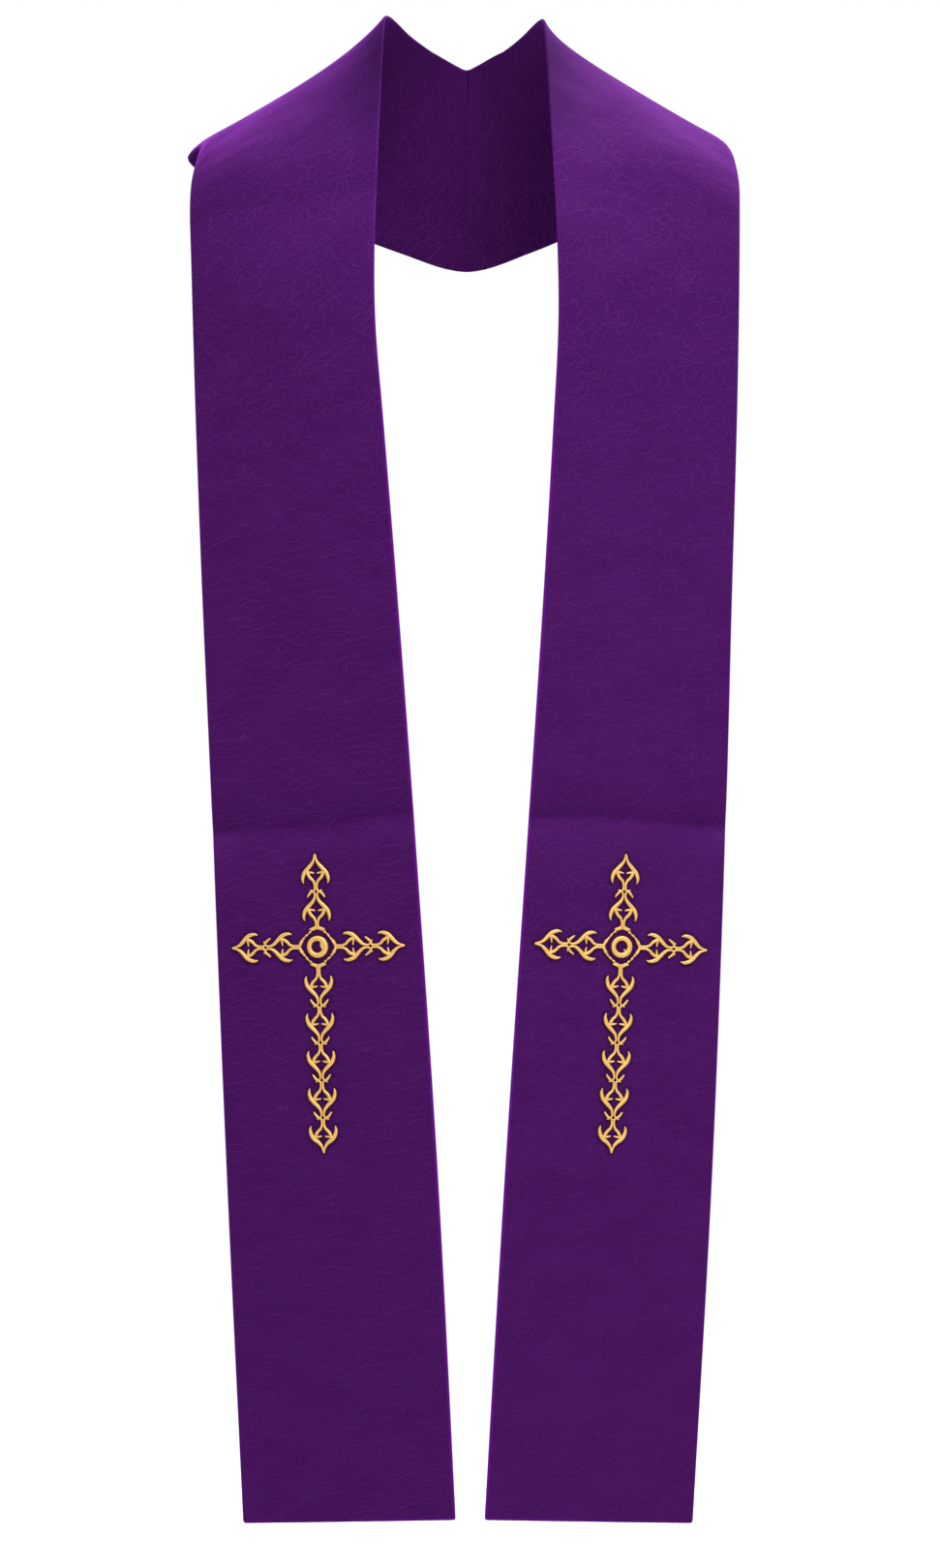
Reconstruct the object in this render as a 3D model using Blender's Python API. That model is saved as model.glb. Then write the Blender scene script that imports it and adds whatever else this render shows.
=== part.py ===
# A clerical stole as it is worn: two long bands that hang from the shoulders, meet in a mitred seam
# at the centre back and carry a raised, embroidered cross each.
# The frame is in metres: +Z up, the front faces -Y, and the wearer's left is +X. The origin is the
# centre of the neck opening, level with the neck points of the shoulders. Sizes below are in millimetres.

import bpy
import numpy as np
from mathutils import Vector
from mathutils.geometry import delaunay_2d_cdt

MM = 0.001

wall = 2.0              # cloth, interlining and backing together
seam_gap = 0.3          # between pieces that are sewn together
crease_angle = 40.0     # degrees between faces, above which an edge is drawn sharp

# Where the grid's lines run along a band, as shares of its width from the inner edge. They lie closer
# beside the edges.
LINES = (0.0, 0.05, 0.12, 0.24, 0.37, 0.50, 0.63, 0.76, 0.87, 0.94, 1.0)

SIDES = {"right": -1.0, "left": 1.0}

# The sections of a band, from the front hem over the shoulder to the centre back. A section runs from
# the inner edge, beside the neck, to the outer edge. x is measured outwards from the middle line. The
# two halves hang a little differently, so columns that end in right and left are for one half. Cells is
# how many rows of the grid lie between this section and the next. Bow swells the whole section outwards,
# dip hollows its inner third, where a shoulder slopes up to the neck, stand hollows it just beside an
# inner edge that stands up, and point swells it just beside the outer edge, over the shoulder's point.
SECTION_COLUMNS = (
    "name", "cells",
    "in_x_right", "in_x_left", "in_y", "in_z_right", "in_z_left",
    "out_x_right", "out_x_left", "out_y", "out_z",
    "bow", "dip_right", "dip_left", "stand_right", "stand_left", "point",
)
SECTIONS = (
    ("hem",            5,  8.2, 13.6, -128, -1145, -1145, 169.6, 171.7, -88, -1153, 1.0, 0, 0, 0, 0, 0),
    ("below cross",    5, 22.2, 29.5, -128,  -876,  -876, 182.4, 186.8, -86,  -884, 1.5, 0, 0, 0, 0, 0),
    ("pack fold",      3, 39.8, 47.0, -127,  -616,  -616, 193.3, 197.0, -83,  -624, 1.5, 0, 0, 0, 0, 0),
    ("waist",          3, 52.4, 58.2, -125,  -446,  -446, 201.0, 201.9, -79,  -454, 2.5, 0, 0, 0, 0, 0),
    ("lower chest",    2, 62.1, 65.2, -121,  -326,  -326, 205.9, 205.7, -73,  -334, 3.5, 0, 0, 0, 0, 0),
    ("chest",          3, 68.6, 69.2, -114,  -246,  -246, 208.8, 207.8, -66,  -254, 4.5, 0, 0, 0, 0, 0),
    ("upper chest",    3, 69.5, 68.5, -100,  -178,  -178, 210.8, 208.9, -59,  -196, 5.0, 0.5, 0.5, 0, 0, 0),
    ("collarbone",     3, 68.1, 66.3,  -80,  -124,  -124, 212.4, 209.6, -50,  -158, 5.0, 2.2, 2.0, 0, 0.5, 0.5),
    ("front shoulder", 3, 66.7, 64.2,  -55,   -76,   -76, 212.0, 209.8, -39,  -133, 4.0, 4.2, 3.7, 0, 1.2, 1.0),
    ("below ridge",    3, 65.4, 62.3,  -29,   -32,   -34, 209.2, 207.6, -25,  -115, 3.0, 6.2, 5.2, 0, 2.2, 1.8),
    ("near ridge",     2, 64.4, 60.9,  -11,    -6,    -8, 206.8, 204.9, -14,  -105, 1.5, 6.8, 5.6, 0.3, 3.0, 2.4),
    ("ridge",          2, 63.6, 60.2,   -2,   2.6,     0, 206.0, 201.5,  -3, -100.5, 1.0, 6.8, 5.6, 0.3, 3.0, 2.6),
    ("behind ridge",   2, 60.0, 57.2,    8,   3.6,     1, 212.6, 197.5,  11, -101.5, 1.5, 6.8, 5.6, 0.3, 2.5, 2.6),
    ("back shoulder",  2, 54.0, 52.0,   19,     0,    -2, 217.8, 190.0,  26,  -106, 3.0, 5.8, 5.0, 0, 2.0, 2.2),
    ("yoke",           2, 45.0, 44.0,   33,    -7,    -8, 204.0, 175.0,  45,  -116, 5.0, 4.2, 4.0, 0, 1.0, 1.3),
    ("back neck",      2, 33.5, 33.0,   46,   -14,   -15, 167.0, 148.0,  63,  -130, 6.0, 2.5, 2.5, 0, 0.3, 0.5),
    ("upper back",     2, 20.0, 20.0, 57.5,   -21,   -21, 112.0, 103.0,  80,  -150, 5.0, 1.0, 1.0, 0, 0, 0),
    ("by the seam",    2,  8.0,  8.0,   64,   -27,   -27,  55.0,  52.0,  93,  -171, 4.0, 0, 0, 0, 0, 0),
    ("centre back",    0,  0.0,  0.0,   66,   -30,   -30,   0.0,   0.0,  98,  -186, 3.5, 0, 0, 0, 0, 0),
)
dip_at = 1.0 / 3.0       # of the width from the inner edge, where a dip is deepest
stand_at = 0.12          # of the width from the inner edge, where the hollow beside it is deepest
point_at = 0.06          # of the width from the outer edge, where the swelling beside it is highest

# The creases that folding for storage has left: valleys across the band, along a section. Each has its
# depth at the inner and at the outer edge. At is in sections from the hem.
CREASE_COLUMNS = ("name", "at", "half_width", "depth_right_in", "depth_right_out",
                  "depth_left_in", "depth_left_out")
CREASES = (
    ("lower", 2.00, 9.0, 1.8, 1.6, 1.8, 1.6),
    ("upper", 6.55, 8.0, 1.6, 0.2, 0.8, 0.2),
)
CREASE_ROWS = (-2.0, -1.0, -0.45, 0.0, 0.45, 1.0, 2.0)   # of the grid, in half widths from its middle
crease_clear = 2.4       # half widths round a crease with no other rows

# The cross, flat. Its centre is on the band's middle line, this far above the hem.
cross_above_hem = 434.3
cross_aside = {"right": 0.6, "left": -0.6}  # how far outwards its centre lies from the middle line
cross_turn = {"right": 1.4, "left": 0.2}    # degrees that it hangs straighter than the band leans
thread_relief = 1.3      # how far the satin stitch stands up along a stroke's middle
edge_relief = 0.5        # and along its edge
frame_reach = 14.4       # from the centre to the frame, towards an arm
frame_corner = 1.35      # 1 makes its outline a square on its corner, and 2 a circle
ring_outer = 8.4
ring_inner = 4.6
ring_relief = 1.7
ring_flats = 32
ring_shoulder = (0.72, 0.75)     # of its half width and of its relief, where its rounded top begins
unit_length = 28.3       # that the scrolls are drawn for

# The arms: the way each one points on the cloth (across, along), where its first scroll springs from,
# the pitch of its scrolls, how many there are, and the length from the last spring to the pointed tip.
ARM_COLUMNS = ("name", "across", "along", "first", "pitch", "scrolls", "tip")
ARMS = (
    ("down",  0, -1, 23.2, 28.3, 5, 19.2),
    ("up",    0,  1, 20.9, 28.2, 2, 20.9),
    ("inner", -1, 0, 21.4, 27.2, 2, 19.4),
    ("outer", 1,  0, 21.4, 27.2, 2, 19.4),
)

# The strokes of one scroll, in satin stitch. Each row is a point: distance out along the arm from the
# spring, distance to the side, and the stroke's width there. Every stroke but the stem is worked twice,
# once to each side.
STROKES = {
    "horn": ((-0.8, 9.6, 0.9), (3.2, 9.9, 2.6), (6.6, 8.2, 3.0), (9.4, 5.2, 2.8), (11.8, 2.6, 2.4),
             (14.4, 1.1, 1.9), (20.4, 0.9, 1.7)),
    "arch": ((-2.4, 0.8, 1.6), (0.6, 1.8, 2.0), (2.8, 4.0, 2.3), (5.0, 5.5, 2.5), (7.4, 6.2, 2.2)),
    "spur": ((7.3, 5.4, 1.6), (6.6, 1.5, 1.1)),
    "barb": ((20.0, 0.9, 1.6), (18.2, 3.6, 2.0), (16.0, 5.7, 1.2)),
}
# A thorn of the frame: share of the quarter's turn from its arm, width. The last row is its thin end,
# which passes outside the thin end of the thorn from the next arm.
THORN = ((0.06, 1.7), (0.16, 2.5), (0.30, 2.1), (0.44, 1.3), (0.56, 0.8))
thorn_apart = 0.45       # how far the one passes outside the middle line, and the other inside
STROKE_RELIEF = {"horn": 1.0, "arch": 0.9, "spur": 0.75, "barb": 0.8, "stem": 0.95, "point": 0.97,
                 "thorn": 0.75}
stem_width = 3.2
stem_leaves = 19.0       # distance out from a spring to the stem that runs on to the next spring
stem_meets = 1.2         # and its overlap with what springs there
LAST_HORN = (0.9, 0.35, 1.3)                         # its end: share of the tip's length, side, width
TIP = ((0.74, 3.0), (0.88, 1.9), (1.0, 0.5))         # the point: share of the tip's length, width

PURPLE = (0.060, 0.008, 0.098, 1.0)
GOLD = (0.76, 0.42, 0.07, 1.0)


def clear_scene():
    for item in list(bpy.data.objects):
        bpy.data.objects.remove(item, do_unlink=True)


def material(name, colour, roughness, metallic):
    made = bpy.data.materials.new(name)
    made.use_nodes = True
    shader = made.node_tree.nodes["Principled BSDF"]
    shader.inputs["Base Color"].default_value = colour
    shader.inputs["Roughness"].default_value = roughness
    shader.inputs["Metallic"].default_value = metallic
    return made


def mesh_object(name, points, faces, finish):
    mesh = bpy.data.meshes.new(name)
    mesh.from_pydata([tuple(point) for point in points], [], faces)
    mesh.validate()
    mesh.materials.append(finish)
    made = bpy.data.objects.new(name, mesh)
    bpy.context.scene.collection.objects.link(made)
    return made


def column(name):
    place = SECTION_COLUMNS.index(name)
    return np.array([float(row[place]) for row in SECTIONS])


def row_positions():
    """Where the grid's rows lie, in sections from the hem."""
    places = []
    for number, cells in enumerate(column("cells").astype(int)):
        places += [number + step / cells for step in range(cells)]
    for crease in CREASES:
        at = crease[CREASE_COLUMNS.index("at")]
        half = crease[CREASE_COLUMNS.index("half_width")]
        reach = half / section_spacing(at)
        places = [place for place in places if abs(place - at) > crease_clear * reach]
        places += [at + reach * step for step in CREASE_ROWS]
    return np.array(sorted(places) + [len(SECTIONS) - 1.0])


def section_spacing(at):
    """Millimetres between sections at this place, along the middle of the band."""
    number = min(int(at), len(SECTIONS) - 2)
    ends = (("in_x_left", "out_x_left"), ("in_y", "out_y"), ("in_z_left", "out_z"))
    middle = [(column(inner) + column(outer)) / 2 for inner, outer in ends]
    return float(np.sqrt(sum((line[number + 1] - line[number]) ** 2 for line in middle)))


def smooth(values, places, seam=1.0):
    """A smooth curve through the sections' values. Seam is -1 for a size that is mirrored at the
    centre back, and so passes through it evenly, and 1 for one that is at its turning point there."""
    last = len(values) - 1
    start = np.minimum(places.astype(int), last - 1)
    part = places - start
    padded = np.concatenate([[2 * values[0] - values[1]], values, [seam * values[last - 1]]])
    before, near, far, after = (padded[start + step] for step in range(4))
    return near + 0.5 * part * (
        far - before
        + part * (2 * before - 5 * near + 4 * far - after + part * (3 * (near - far) + after - before))
    )


def facing(points, side):
    """Outward normals of a grid of points. The last row stays in the plane of the centre-back seam."""
    along = np.gradient(points, axis=0)
    across = np.gradient(points, axis=1)
    normals = np.cross(across, along) * side
    normals[-1, :, 0] = 0.0
    return normals / np.linalg.norm(normals, axis=2, keepdims=True)


def beside_edge(away):
    """A soft hump beside an edge: nothing at the edge itself and 1 where away is 1."""
    return away * np.exp(1 - away)


def crease_depth(name_of_side, places, width_share):
    depth = np.zeros((len(places), len(width_share)))
    for crease in CREASES:
        row = dict(zip(CREASE_COLUMNS, crease))
        away = (places - row["at"]) * section_spacing(row["at"]) / row["half_width"]
        inner = row["depth_" + name_of_side + "_in"]
        outer = row["depth_" + name_of_side + "_out"]
        depth += np.exp(-away ** 2)[:, None] * (inner + (outer - inner) * width_share)[None, :]
    return depth


def band_grid(name_of_side):
    """The outer face of a band: points and outward normals, row by row from the hem, each row from the
    inner edge to the outer edge."""
    side = SIDES[name_of_side]
    places = row_positions()
    edges = []
    for edge in ("in", "out"):
        x = smooth(column(edge + "_x_" + name_of_side), places, -1.0)
        x = side * np.maximum(x, seam_gap / 2)
        y = smooth(column(edge + "_y"), places)
        z = smooth(column("in_z_" + name_of_side if edge == "in" else "out_z"), places)
        edges.append(np.stack([x, y, z], axis=1))
    share = np.array(LINES)
    inner, outer = edges
    points = inner[:, None] * (1 - share)[None, :, None] + outer[:, None] * share[None, :, None]
    bow = smooth(column("bow"), places)[:, None] * 4 * share * (1 - share)
    dip_shape = share * (1 - share) ** 2 / (dip_at * (1 - dip_at) ** 2)
    dip = smooth(column("dip_" + name_of_side), places)[:, None] * dip_shape
    stand = smooth(column("stand_" + name_of_side), places)[:, None] * beside_edge(share / stand_at)
    point = smooth(column("point"), places)[:, None] * beside_edge((1 - share) / point_at)
    out = bow - dip - stand + point - crease_depth(name_of_side, places, share)
    points = points + facing(points, side) * out[:, :, None]
    return points, facing(points, side)


def band(name_of_side, finish):
    """One half of the stole, as a wall of even thickness with square edges."""
    points, normals = band_grid(name_of_side)
    rows, columns = points.shape[:2]
    outside = points.reshape(-1, 3)
    inside = (points - normals * wall).reshape(-1, 3)
    count = len(outside)
    faces = []

    def number(row, place):
        return row * columns + place

    for row in range(rows - 1):
        for place in range(columns - 1):
            corners = (number(row, place), number(row, place + 1),
                       number(row + 1, place + 1), number(row + 1, place))
            faces.append(corners)
            faces.append(tuple(corner + count for corner in reversed(corners)))
    rim = [number(0, place) for place in range(columns)]
    rim += [number(row, columns - 1) for row in range(1, rows)]
    rim += [number(rows - 1, place) for place in range(columns - 2, -1, -1)]
    rim += [number(row, 0) for row in range(rows - 2, 0, -1)]
    for start, end in zip(rim, rim[1:] + rim[:1]):
        faces.append((end, start, start + count, end + count))
    if SIDES[name_of_side] < 0:
        faces = [tuple(reversed(face)) for face in faces]
    made = mesh_object("band_" + name_of_side, np.concatenate([outside, inside]) * MM, faces, finish)
    made.data.shade_smooth()
    made.data.set_sharp_from_angle(angle=np.radians(crease_angle))
    return made


def on_band(name_of_side, across, along, height):
    """The point of a band's outer face this far outwards from its middle line and this far above the
    hem, moved out from the cloth by a height. All three are lists of numbers."""
    points, normals = band_grid(name_of_side)
    middle = (points[:, 0] + points[:, -1]) / 2
    steps = np.linalg.norm(np.diff(middle, axis=0), axis=1)
    above_hem = np.concatenate([[0.0], np.cumsum(steps)])
    row = np.clip(np.searchsorted(above_hem, along) - 1, 0, len(steps) - 1)
    row_share = (along - above_hem[row]) / steps[row]
    width = np.linalg.norm(points[:, -1] - points[:, 0], axis=1)
    width_here = width[row] + (width[row + 1] - width[row]) * row_share
    place = np.interp(0.5 + across / width_here, LINES, range(len(LINES)))
    cell = np.clip(place.astype(int), 0, len(LINES) - 2)
    cell_share = place - cell

    def between(grid):
        low = grid[row, cell] * (1 - cell_share)[:, None] + grid[row, cell + 1] * cell_share[:, None]
        high = (grid[row + 1, cell] * (1 - cell_share)[:, None]
                + grid[row + 1, cell + 1] * cell_share[:, None])
        return low * (1 - row_share)[:, None] + high * row_share[:, None]

    return between(points) + between(normals) * (seam_gap + height)[:, None]


def arm_strokes(arm):
    """The strokes of one arm, each as (kind, line of across, along, width)."""
    way = np.array([arm["across"], arm["along"]], float)
    beside = np.array([-way[1], way[0]])
    stretch = arm["pitch"] / unit_length
    strokes = []

    def add(kind, table, hand):
        line = [(*(way * out + beside * side * hand), width) for out, side, width in table]
        strokes.append((kind, line))

    for number in range(arm["scrolls"]):
        spring = arm["first"] + number * arm["pitch"]
        is_last = number == arm["scrolls"] - 1
        for kind, table in STROKES.items():
            if is_last and kind == "barb":
                continue
            curve = np.array(table)
            curve[:, 0] = spring + curve[:, 0] * stretch
            if is_last and kind == "horn":
                curve[-1] = (spring + LAST_HORN[0] * arm["tip"], *LAST_HORN[1:])
            for hand in (-1.0, 1.0):
                add(kind, curve, hand)
        if is_last:
            add("point", [(spring + arm["tip"] * out, 0.0, width) for out, width in TIP], 1.0)
        else:
            add("stem", [(spring + stem_leaves * stretch, 0.0, stem_width),
                         (spring + arm["pitch"] - stem_meets, 0.0, stem_width)], 1.0)
    add("stem", [(frame_reach - stem_meets, 0.0, stem_width),
                 (arm["first"] - stem_meets, 0.0, stem_width)], 1.0)
    return strokes


def frame_strokes():
    """The thorny frame round the crossing. From each arm a thorn runs towards the next one, both ways."""
    strokes = []
    for quarter in range(4):
        for hand in (0, 1):
            line = []
            for share, width in THORN:
                angle = (quarter + (1 - share if hand else share)) * np.pi / 2
                shape = abs(np.cos(angle)) ** frame_corner + abs(np.sin(angle)) ** frame_corner
                reach = frame_reach / shape ** (1 / frame_corner) + thorn_apart * (1 - 2 * hand) * share
                line.append((reach * np.cos(angle), reach * np.sin(angle), width))
            strokes.append(("thorn", line))
    return strokes


def swelling(strokes, place):
    """How high the satin stitch stands at a flat place, from 0 at a stroke's edge to its relief at its
    middle line."""
    best = 0.0
    for kind, line in strokes:
        line = np.array(line)
        start, run = line[:-1, :2], np.diff(line[:, :2], axis=0)
        share = np.clip(((place - start) * run).sum(axis=1) / (run ** 2).sum(axis=1), 0.0, 1.0)
        away = np.linalg.norm(start + run * share[:, None] - place, axis=1)
        half_width = (line[:-1, 2] + np.diff(line[:, 2]) * share) / 2
        best = max(best, STROKE_RELIEF[kind] * float((1 - (away / half_width) ** 2).max()))
    return best


def joined_flat(strokes):
    """All strokes as one body that lies flat: its points, as across, along and height, and its faces.
    Every stroke is an outline with a middle line. Where they cross, they are cut to one flat net of
    triangles, which is then raised."""
    places = []
    edges = []
    outlines = []
    for _, line in strokes:
        line = np.array(line)
        ahead = np.gradient(line[:, :2], axis=0)
        ahead /= np.linalg.norm(ahead, axis=1, keepdims=True)
        aside = np.stack([-ahead[:, 1], ahead[:, 0]], axis=1) * line[:, 2:] / 2
        first = len(places)
        count = len(line)
        places += [Vector(place) for place in line[:, :2] - aside]
        places += [Vector(place) for place in (line[:, :2] + aside)[::-1]]
        places += [Vector(place) for place in line[1:-1, :2]]
        outlines.append(list(range(first, first + 2 * count)))
        middle = list(range(first + 2 * count, len(places)))
        edges += list(zip(middle, middle[1:]))
    net = delaunay_2d_cdt(places, edges, outlines, 0, 1e-5)
    flat, faces, sources = net[0], net[2], net[5]
    kept = [tuple(face) for face, source in zip(faces, sources) if source]
    used = sorted({corner for face in kept for corner in face})
    number = {corner: place for place, corner in enumerate(used)}
    kept = [tuple(number[corner] for corner in face) for face in kept]
    flat = np.array([tuple(flat[corner]) for corner in used])
    sides = {(start, end) for face in kept for start, end in zip(face, face[1:] + face[:1])}
    rim = [(start, end) for start, end in sides if (end, start) not in sides]
    on_rim = {corner for side in rim for corner in side}
    height = np.full(len(flat), edge_relief)
    for corner in set(range(len(flat))) - on_rim:
        height[corner] += (thread_relief - edge_relief) * swelling(strokes, flat[corner])
    points = np.concatenate([np.column_stack([flat, height]), np.column_stack([flat, 0.0 * height])])
    under = len(flat)
    solid = kept + [tuple(corner + under for corner in reversed(face)) for face in kept]
    solid += [(end, start, start + under, end + under) for start, end in sorted(rim)]
    return points, solid


def lay_on_band(name, name_of_side, points, faces, finish):
    """A flat-lying body laid on a band, with its centre at the cross's. Across grows outwards on both
    halves, so the right one is a mirror image."""
    turn = np.radians(cross_turn[name_of_side])
    across = points[:, 0] * np.cos(turn) - points[:, 1] * np.sin(turn) + cross_aside[name_of_side]
    along = points[:, 0] * np.sin(turn) + points[:, 1] * np.cos(turn)
    placed = on_band(name_of_side, across, cross_above_hem + along, points[:, 2])
    if SIDES[name_of_side] < 0:
        faces = [tuple(reversed(face)) for face in faces]
    made = mesh_object(name, placed * MM, faces, finish)
    return made


def ring_flat():
    """The ring at the crossing: a raised band with sloping sides, turned round the centre."""
    middle = (ring_outer + ring_inner) / 2
    half = (ring_outer - ring_inner) / 2
    shoulder = (half * ring_shoulder[0], ring_relief * ring_shoulder[1])
    profile = ((half, 0.0), shoulder, (0.0, ring_relief), (-shoulder[0], shoulder[1]), (-half, 0.0))
    points = []
    for turn in range(ring_flats):
        angle = 2 * np.pi * turn / ring_flats
        for out, height in profile:
            reach = middle + out
            points.append((reach * np.cos(angle), reach * np.sin(angle), height))
    faces = []
    count = len(profile)
    for turn in range(ring_flats):
        near = turn * count
        far = (turn + 1) % ring_flats * count
        for place in range(count):
            following = (place + 1) % count
            faces.append((near + place, far + place, far + following, near + following))
    return np.array(points), faces


def main():
    clear_scene()
    cloth = material("purple_cloth", PURPLE, 0.85, 0.0)
    thread = material("gold_thread", GOLD, 0.42, 0.25)
    strokes = frame_strokes()
    for row in ARMS:
        strokes += arm_strokes(dict(zip(ARM_COLUMNS, row)))
    cross_points, cross_faces = joined_flat(strokes)
    ring_points, ring_faces = ring_flat()
    for name_of_side in SIDES:
        band(name_of_side, cloth)
        lay_on_band("cross_" + name_of_side, name_of_side, cross_points, cross_faces, thread)
        lay_on_band("ring_" + name_of_side, name_of_side, ring_points, ring_faces, thread)


main()
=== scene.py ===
import math
import bpy
import numpy as np
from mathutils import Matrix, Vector


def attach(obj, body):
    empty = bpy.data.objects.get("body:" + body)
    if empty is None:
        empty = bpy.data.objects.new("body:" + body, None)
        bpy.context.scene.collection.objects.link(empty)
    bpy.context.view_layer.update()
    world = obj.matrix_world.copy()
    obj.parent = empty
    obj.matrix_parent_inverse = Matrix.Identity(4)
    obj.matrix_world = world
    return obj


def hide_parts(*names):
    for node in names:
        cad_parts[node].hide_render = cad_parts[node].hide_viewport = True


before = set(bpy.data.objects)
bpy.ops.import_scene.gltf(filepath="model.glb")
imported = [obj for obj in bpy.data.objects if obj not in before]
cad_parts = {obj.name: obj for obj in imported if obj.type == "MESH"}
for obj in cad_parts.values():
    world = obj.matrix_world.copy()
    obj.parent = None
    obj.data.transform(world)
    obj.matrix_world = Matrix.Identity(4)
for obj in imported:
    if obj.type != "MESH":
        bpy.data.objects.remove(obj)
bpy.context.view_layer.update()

mm = 0.001
halves = {"right": -1.0, "left": 1.0}      # the wearer's right half lies on the -X side


def newMaterial(name):
    material = bpy.data.materials.new(name)
    material.use_nodes = True
    tree = material.node_tree
    return material, tree, tree.nodes["Principled BSDF"]


def addNode(tree, kind, settings=None, **inputs):
    node = tree.nodes.new(kind)
    for key, value in (settings or {}).items():
        setattr(node, key, value)
    for key, value in inputs.items():
        socket = node.inputs[int(key[1:])] if key[0] == "i" and key[1:].isdigit() else node.inputs[key]
        if isinstance(value, bpy.types.NodeSocket):
            tree.links.new(value, socket)
        else:
            socket.default_value = value
    return node


def mathNode(tree, operation, first, second=0.5):
    return addNode(tree, "ShaderNodeMath", {"operation": operation}, i0=first, i1=second).outputs[0]


def product(tree, first, second):
    return mathNode(tree, "MULTIPLY", first, second)


def mixColour(tree, factor, first, second):
    node = tree.nodes.new("ShaderNodeMix")
    node.data_type = "RGBA"
    for place, value in ((0, factor), (6, first), (7, second)):
        if isinstance(value, bpy.types.NodeSocket):
            tree.links.new(value, node.inputs[place])
        else:
            node.inputs[place].default_value = value
    return node.outputs[2]


def remap(tree, value, fromLow, fromHigh, toLow, toHigh):
    node = tree.nodes.new("ShaderNodeMapRange")
    node.interpolation_type = "SMOOTHSTEP"
    tree.links.new(value, node.inputs[0])
    for place, number in enumerate((fromLow, fromHigh, toLow, toHigh), 1):
        node.inputs[place].default_value = number
    return node.outputs[0]


def turned(tree, vector, angle=0.0, stretch=1.0, shift=(0, 0, 0)):
    # the pattern turned by an angle and drawn out along its own first axis
    node = addNode(tree, "ShaderNodeMapping", {"vector_type": "TEXTURE"}, Vector=vector)
    node.inputs["Rotation"].default_value = (0, 0, math.radians(angle))
    node.inputs["Scale"].default_value = (stretch, 1, 1)
    node.inputs["Location"].default_value = shift
    return node.outputs[0]


def noise(tree, vector, scale, detail=2.0, roughness=0.5):
    return addNode(tree, "ShaderNodeTexNoise", None, Vector=vector, Scale=scale, Detail=detail,
                   Roughness=roughness).outputs[0]


def makeObject(name, points, faces, material, smooth=True):
    mesh = bpy.data.meshes.new(name)
    mesh.from_pydata([tuple(point) for point in points], [], [tuple(face) for face in faces])
    mesh.validate()
    mesh.materials.append(material)
    if smooth:
        mesh.shade_smooth()
    made = bpy.data.objects.new(name, mesh)
    bpy.context.scene.collection.objects.link(made)
    return made


def addUv(mesh, name, perPoint):
    layer = mesh.uv_layers.new(name=name)
    corner = np.empty(len(mesh.loops), np.int32)
    mesh.loops.foreach_get("vertex_index", corner)
    layer.data.foreach_set("uv", perPoint[corner].astype(np.float32).ravel())


studio = {
    "lens": 118.5,
    "distance": 4.0,
    "eye": (0.0026, -0.5925),              # the camera's X and Z
    "worldColour": (1.0, 0.99, 0.98, 1), "worldStrength": 0.72,
    "floorLevel": -1.32, "floorSides": 64,
    "floorDark": (0.92, 0.92, 0.92, 1), "floorPale": (0.96, 0.96, 0.96, 1), "floorRoughness": 0.9,
    "floorNear": 0.7, "floorFar": 2.4,     # where the floor starts to fade and is gone
}
lights = (
    {"name": "top light", "place": (0.72, -0.95, 1.75), "aim": (0, 0, -0.2), "size": (1.2, 0.9), "power": 42.0},
    {"name": "front light", "place": (0.3, -3.9, 0.0), "aim": (0, 0, -0.6), "size": (2.4, 2.4), "power": 42.0},
    {"name": "ridge light", "place": (0.55, 0.9, 1.9), "aim": (0, 0, -0.05), "size": (1.2, 0.7), "power": 99.0},
    {"name": "back light", "place": (-0.5, 3.2, 0.9), "aim": (0, 0, -0.3), "size": (2.0, 2.0), "power": 12.0},
)


def makeCamera():
    data = bpy.data.cameras.new("camera")
    data.sensor_width = 36.0
    data.lens = studio["lens"]
    camera = bpy.data.objects.new("camera", data)
    camera.location = (studio["eye"][0], -studio["distance"], studio["eye"][1])
    camera.rotation_euler = (math.pi / 2, 0, 0)
    bpy.context.scene.collection.objects.link(camera)
    bpy.context.scene.camera = camera


def areaLight(light):
    data = bpy.data.lights.new(light["name"], "AREA")
    data.shape = "RECTANGLE"
    data.size, data.size_y = light["size"]
    data.energy = light["power"]
    lamp = bpy.data.objects.new(light["name"], data)
    lamp.location = light["place"]
    lamp.rotation_euler = (Vector(light["aim"]) - Vector(light["place"])).to_track_quat("-Z", "Y").to_euler()
    bpy.context.scene.collection.objects.link(lamp)


def makeStudio():
    world = bpy.data.worlds.new("studio")
    bpy.context.scene.world = world
    world.use_nodes = True
    tree = world.node_tree
    seen = addNode(tree, "ShaderNodeBackground", None, Color=(1, 1, 1, 1), Strength=1.0)
    lit = tree.nodes["Background"]
    lit.inputs["Color"].default_value = studio["worldColour"]
    lit.inputs["Strength"].default_value = studio["worldStrength"]
    path = tree.nodes.new("ShaderNodeLightPath")
    mix = tree.nodes.new("ShaderNodeMixShader")
    tree.links.new(path.outputs["Is Camera Ray"], mix.inputs[0])
    tree.links.new(lit.outputs[0], mix.inputs[1])
    tree.links.new(seen.outputs[0], mix.inputs[2])
    tree.links.new(mix.outputs[0], tree.nodes["World Output"].inputs[0])
    for light in lights:
        areaLight(light)
    reach = studio["floorFar"]
    ring = [(reach * math.cos(angle), reach * math.sin(angle), 0)
            for angle in np.linspace(0, 2 * math.pi, studio["floorSides"] + 1)[:-1]]
    floor = makeObject("floor", ring, [tuple(range(studio["floorSides"]))], floorMaterial(), False)
    floor.location.z = studio["floorLevel"]
    floor.visible_diffuse = False
    bpy.context.scene.view_settings.view_transform = "Standard"


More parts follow.
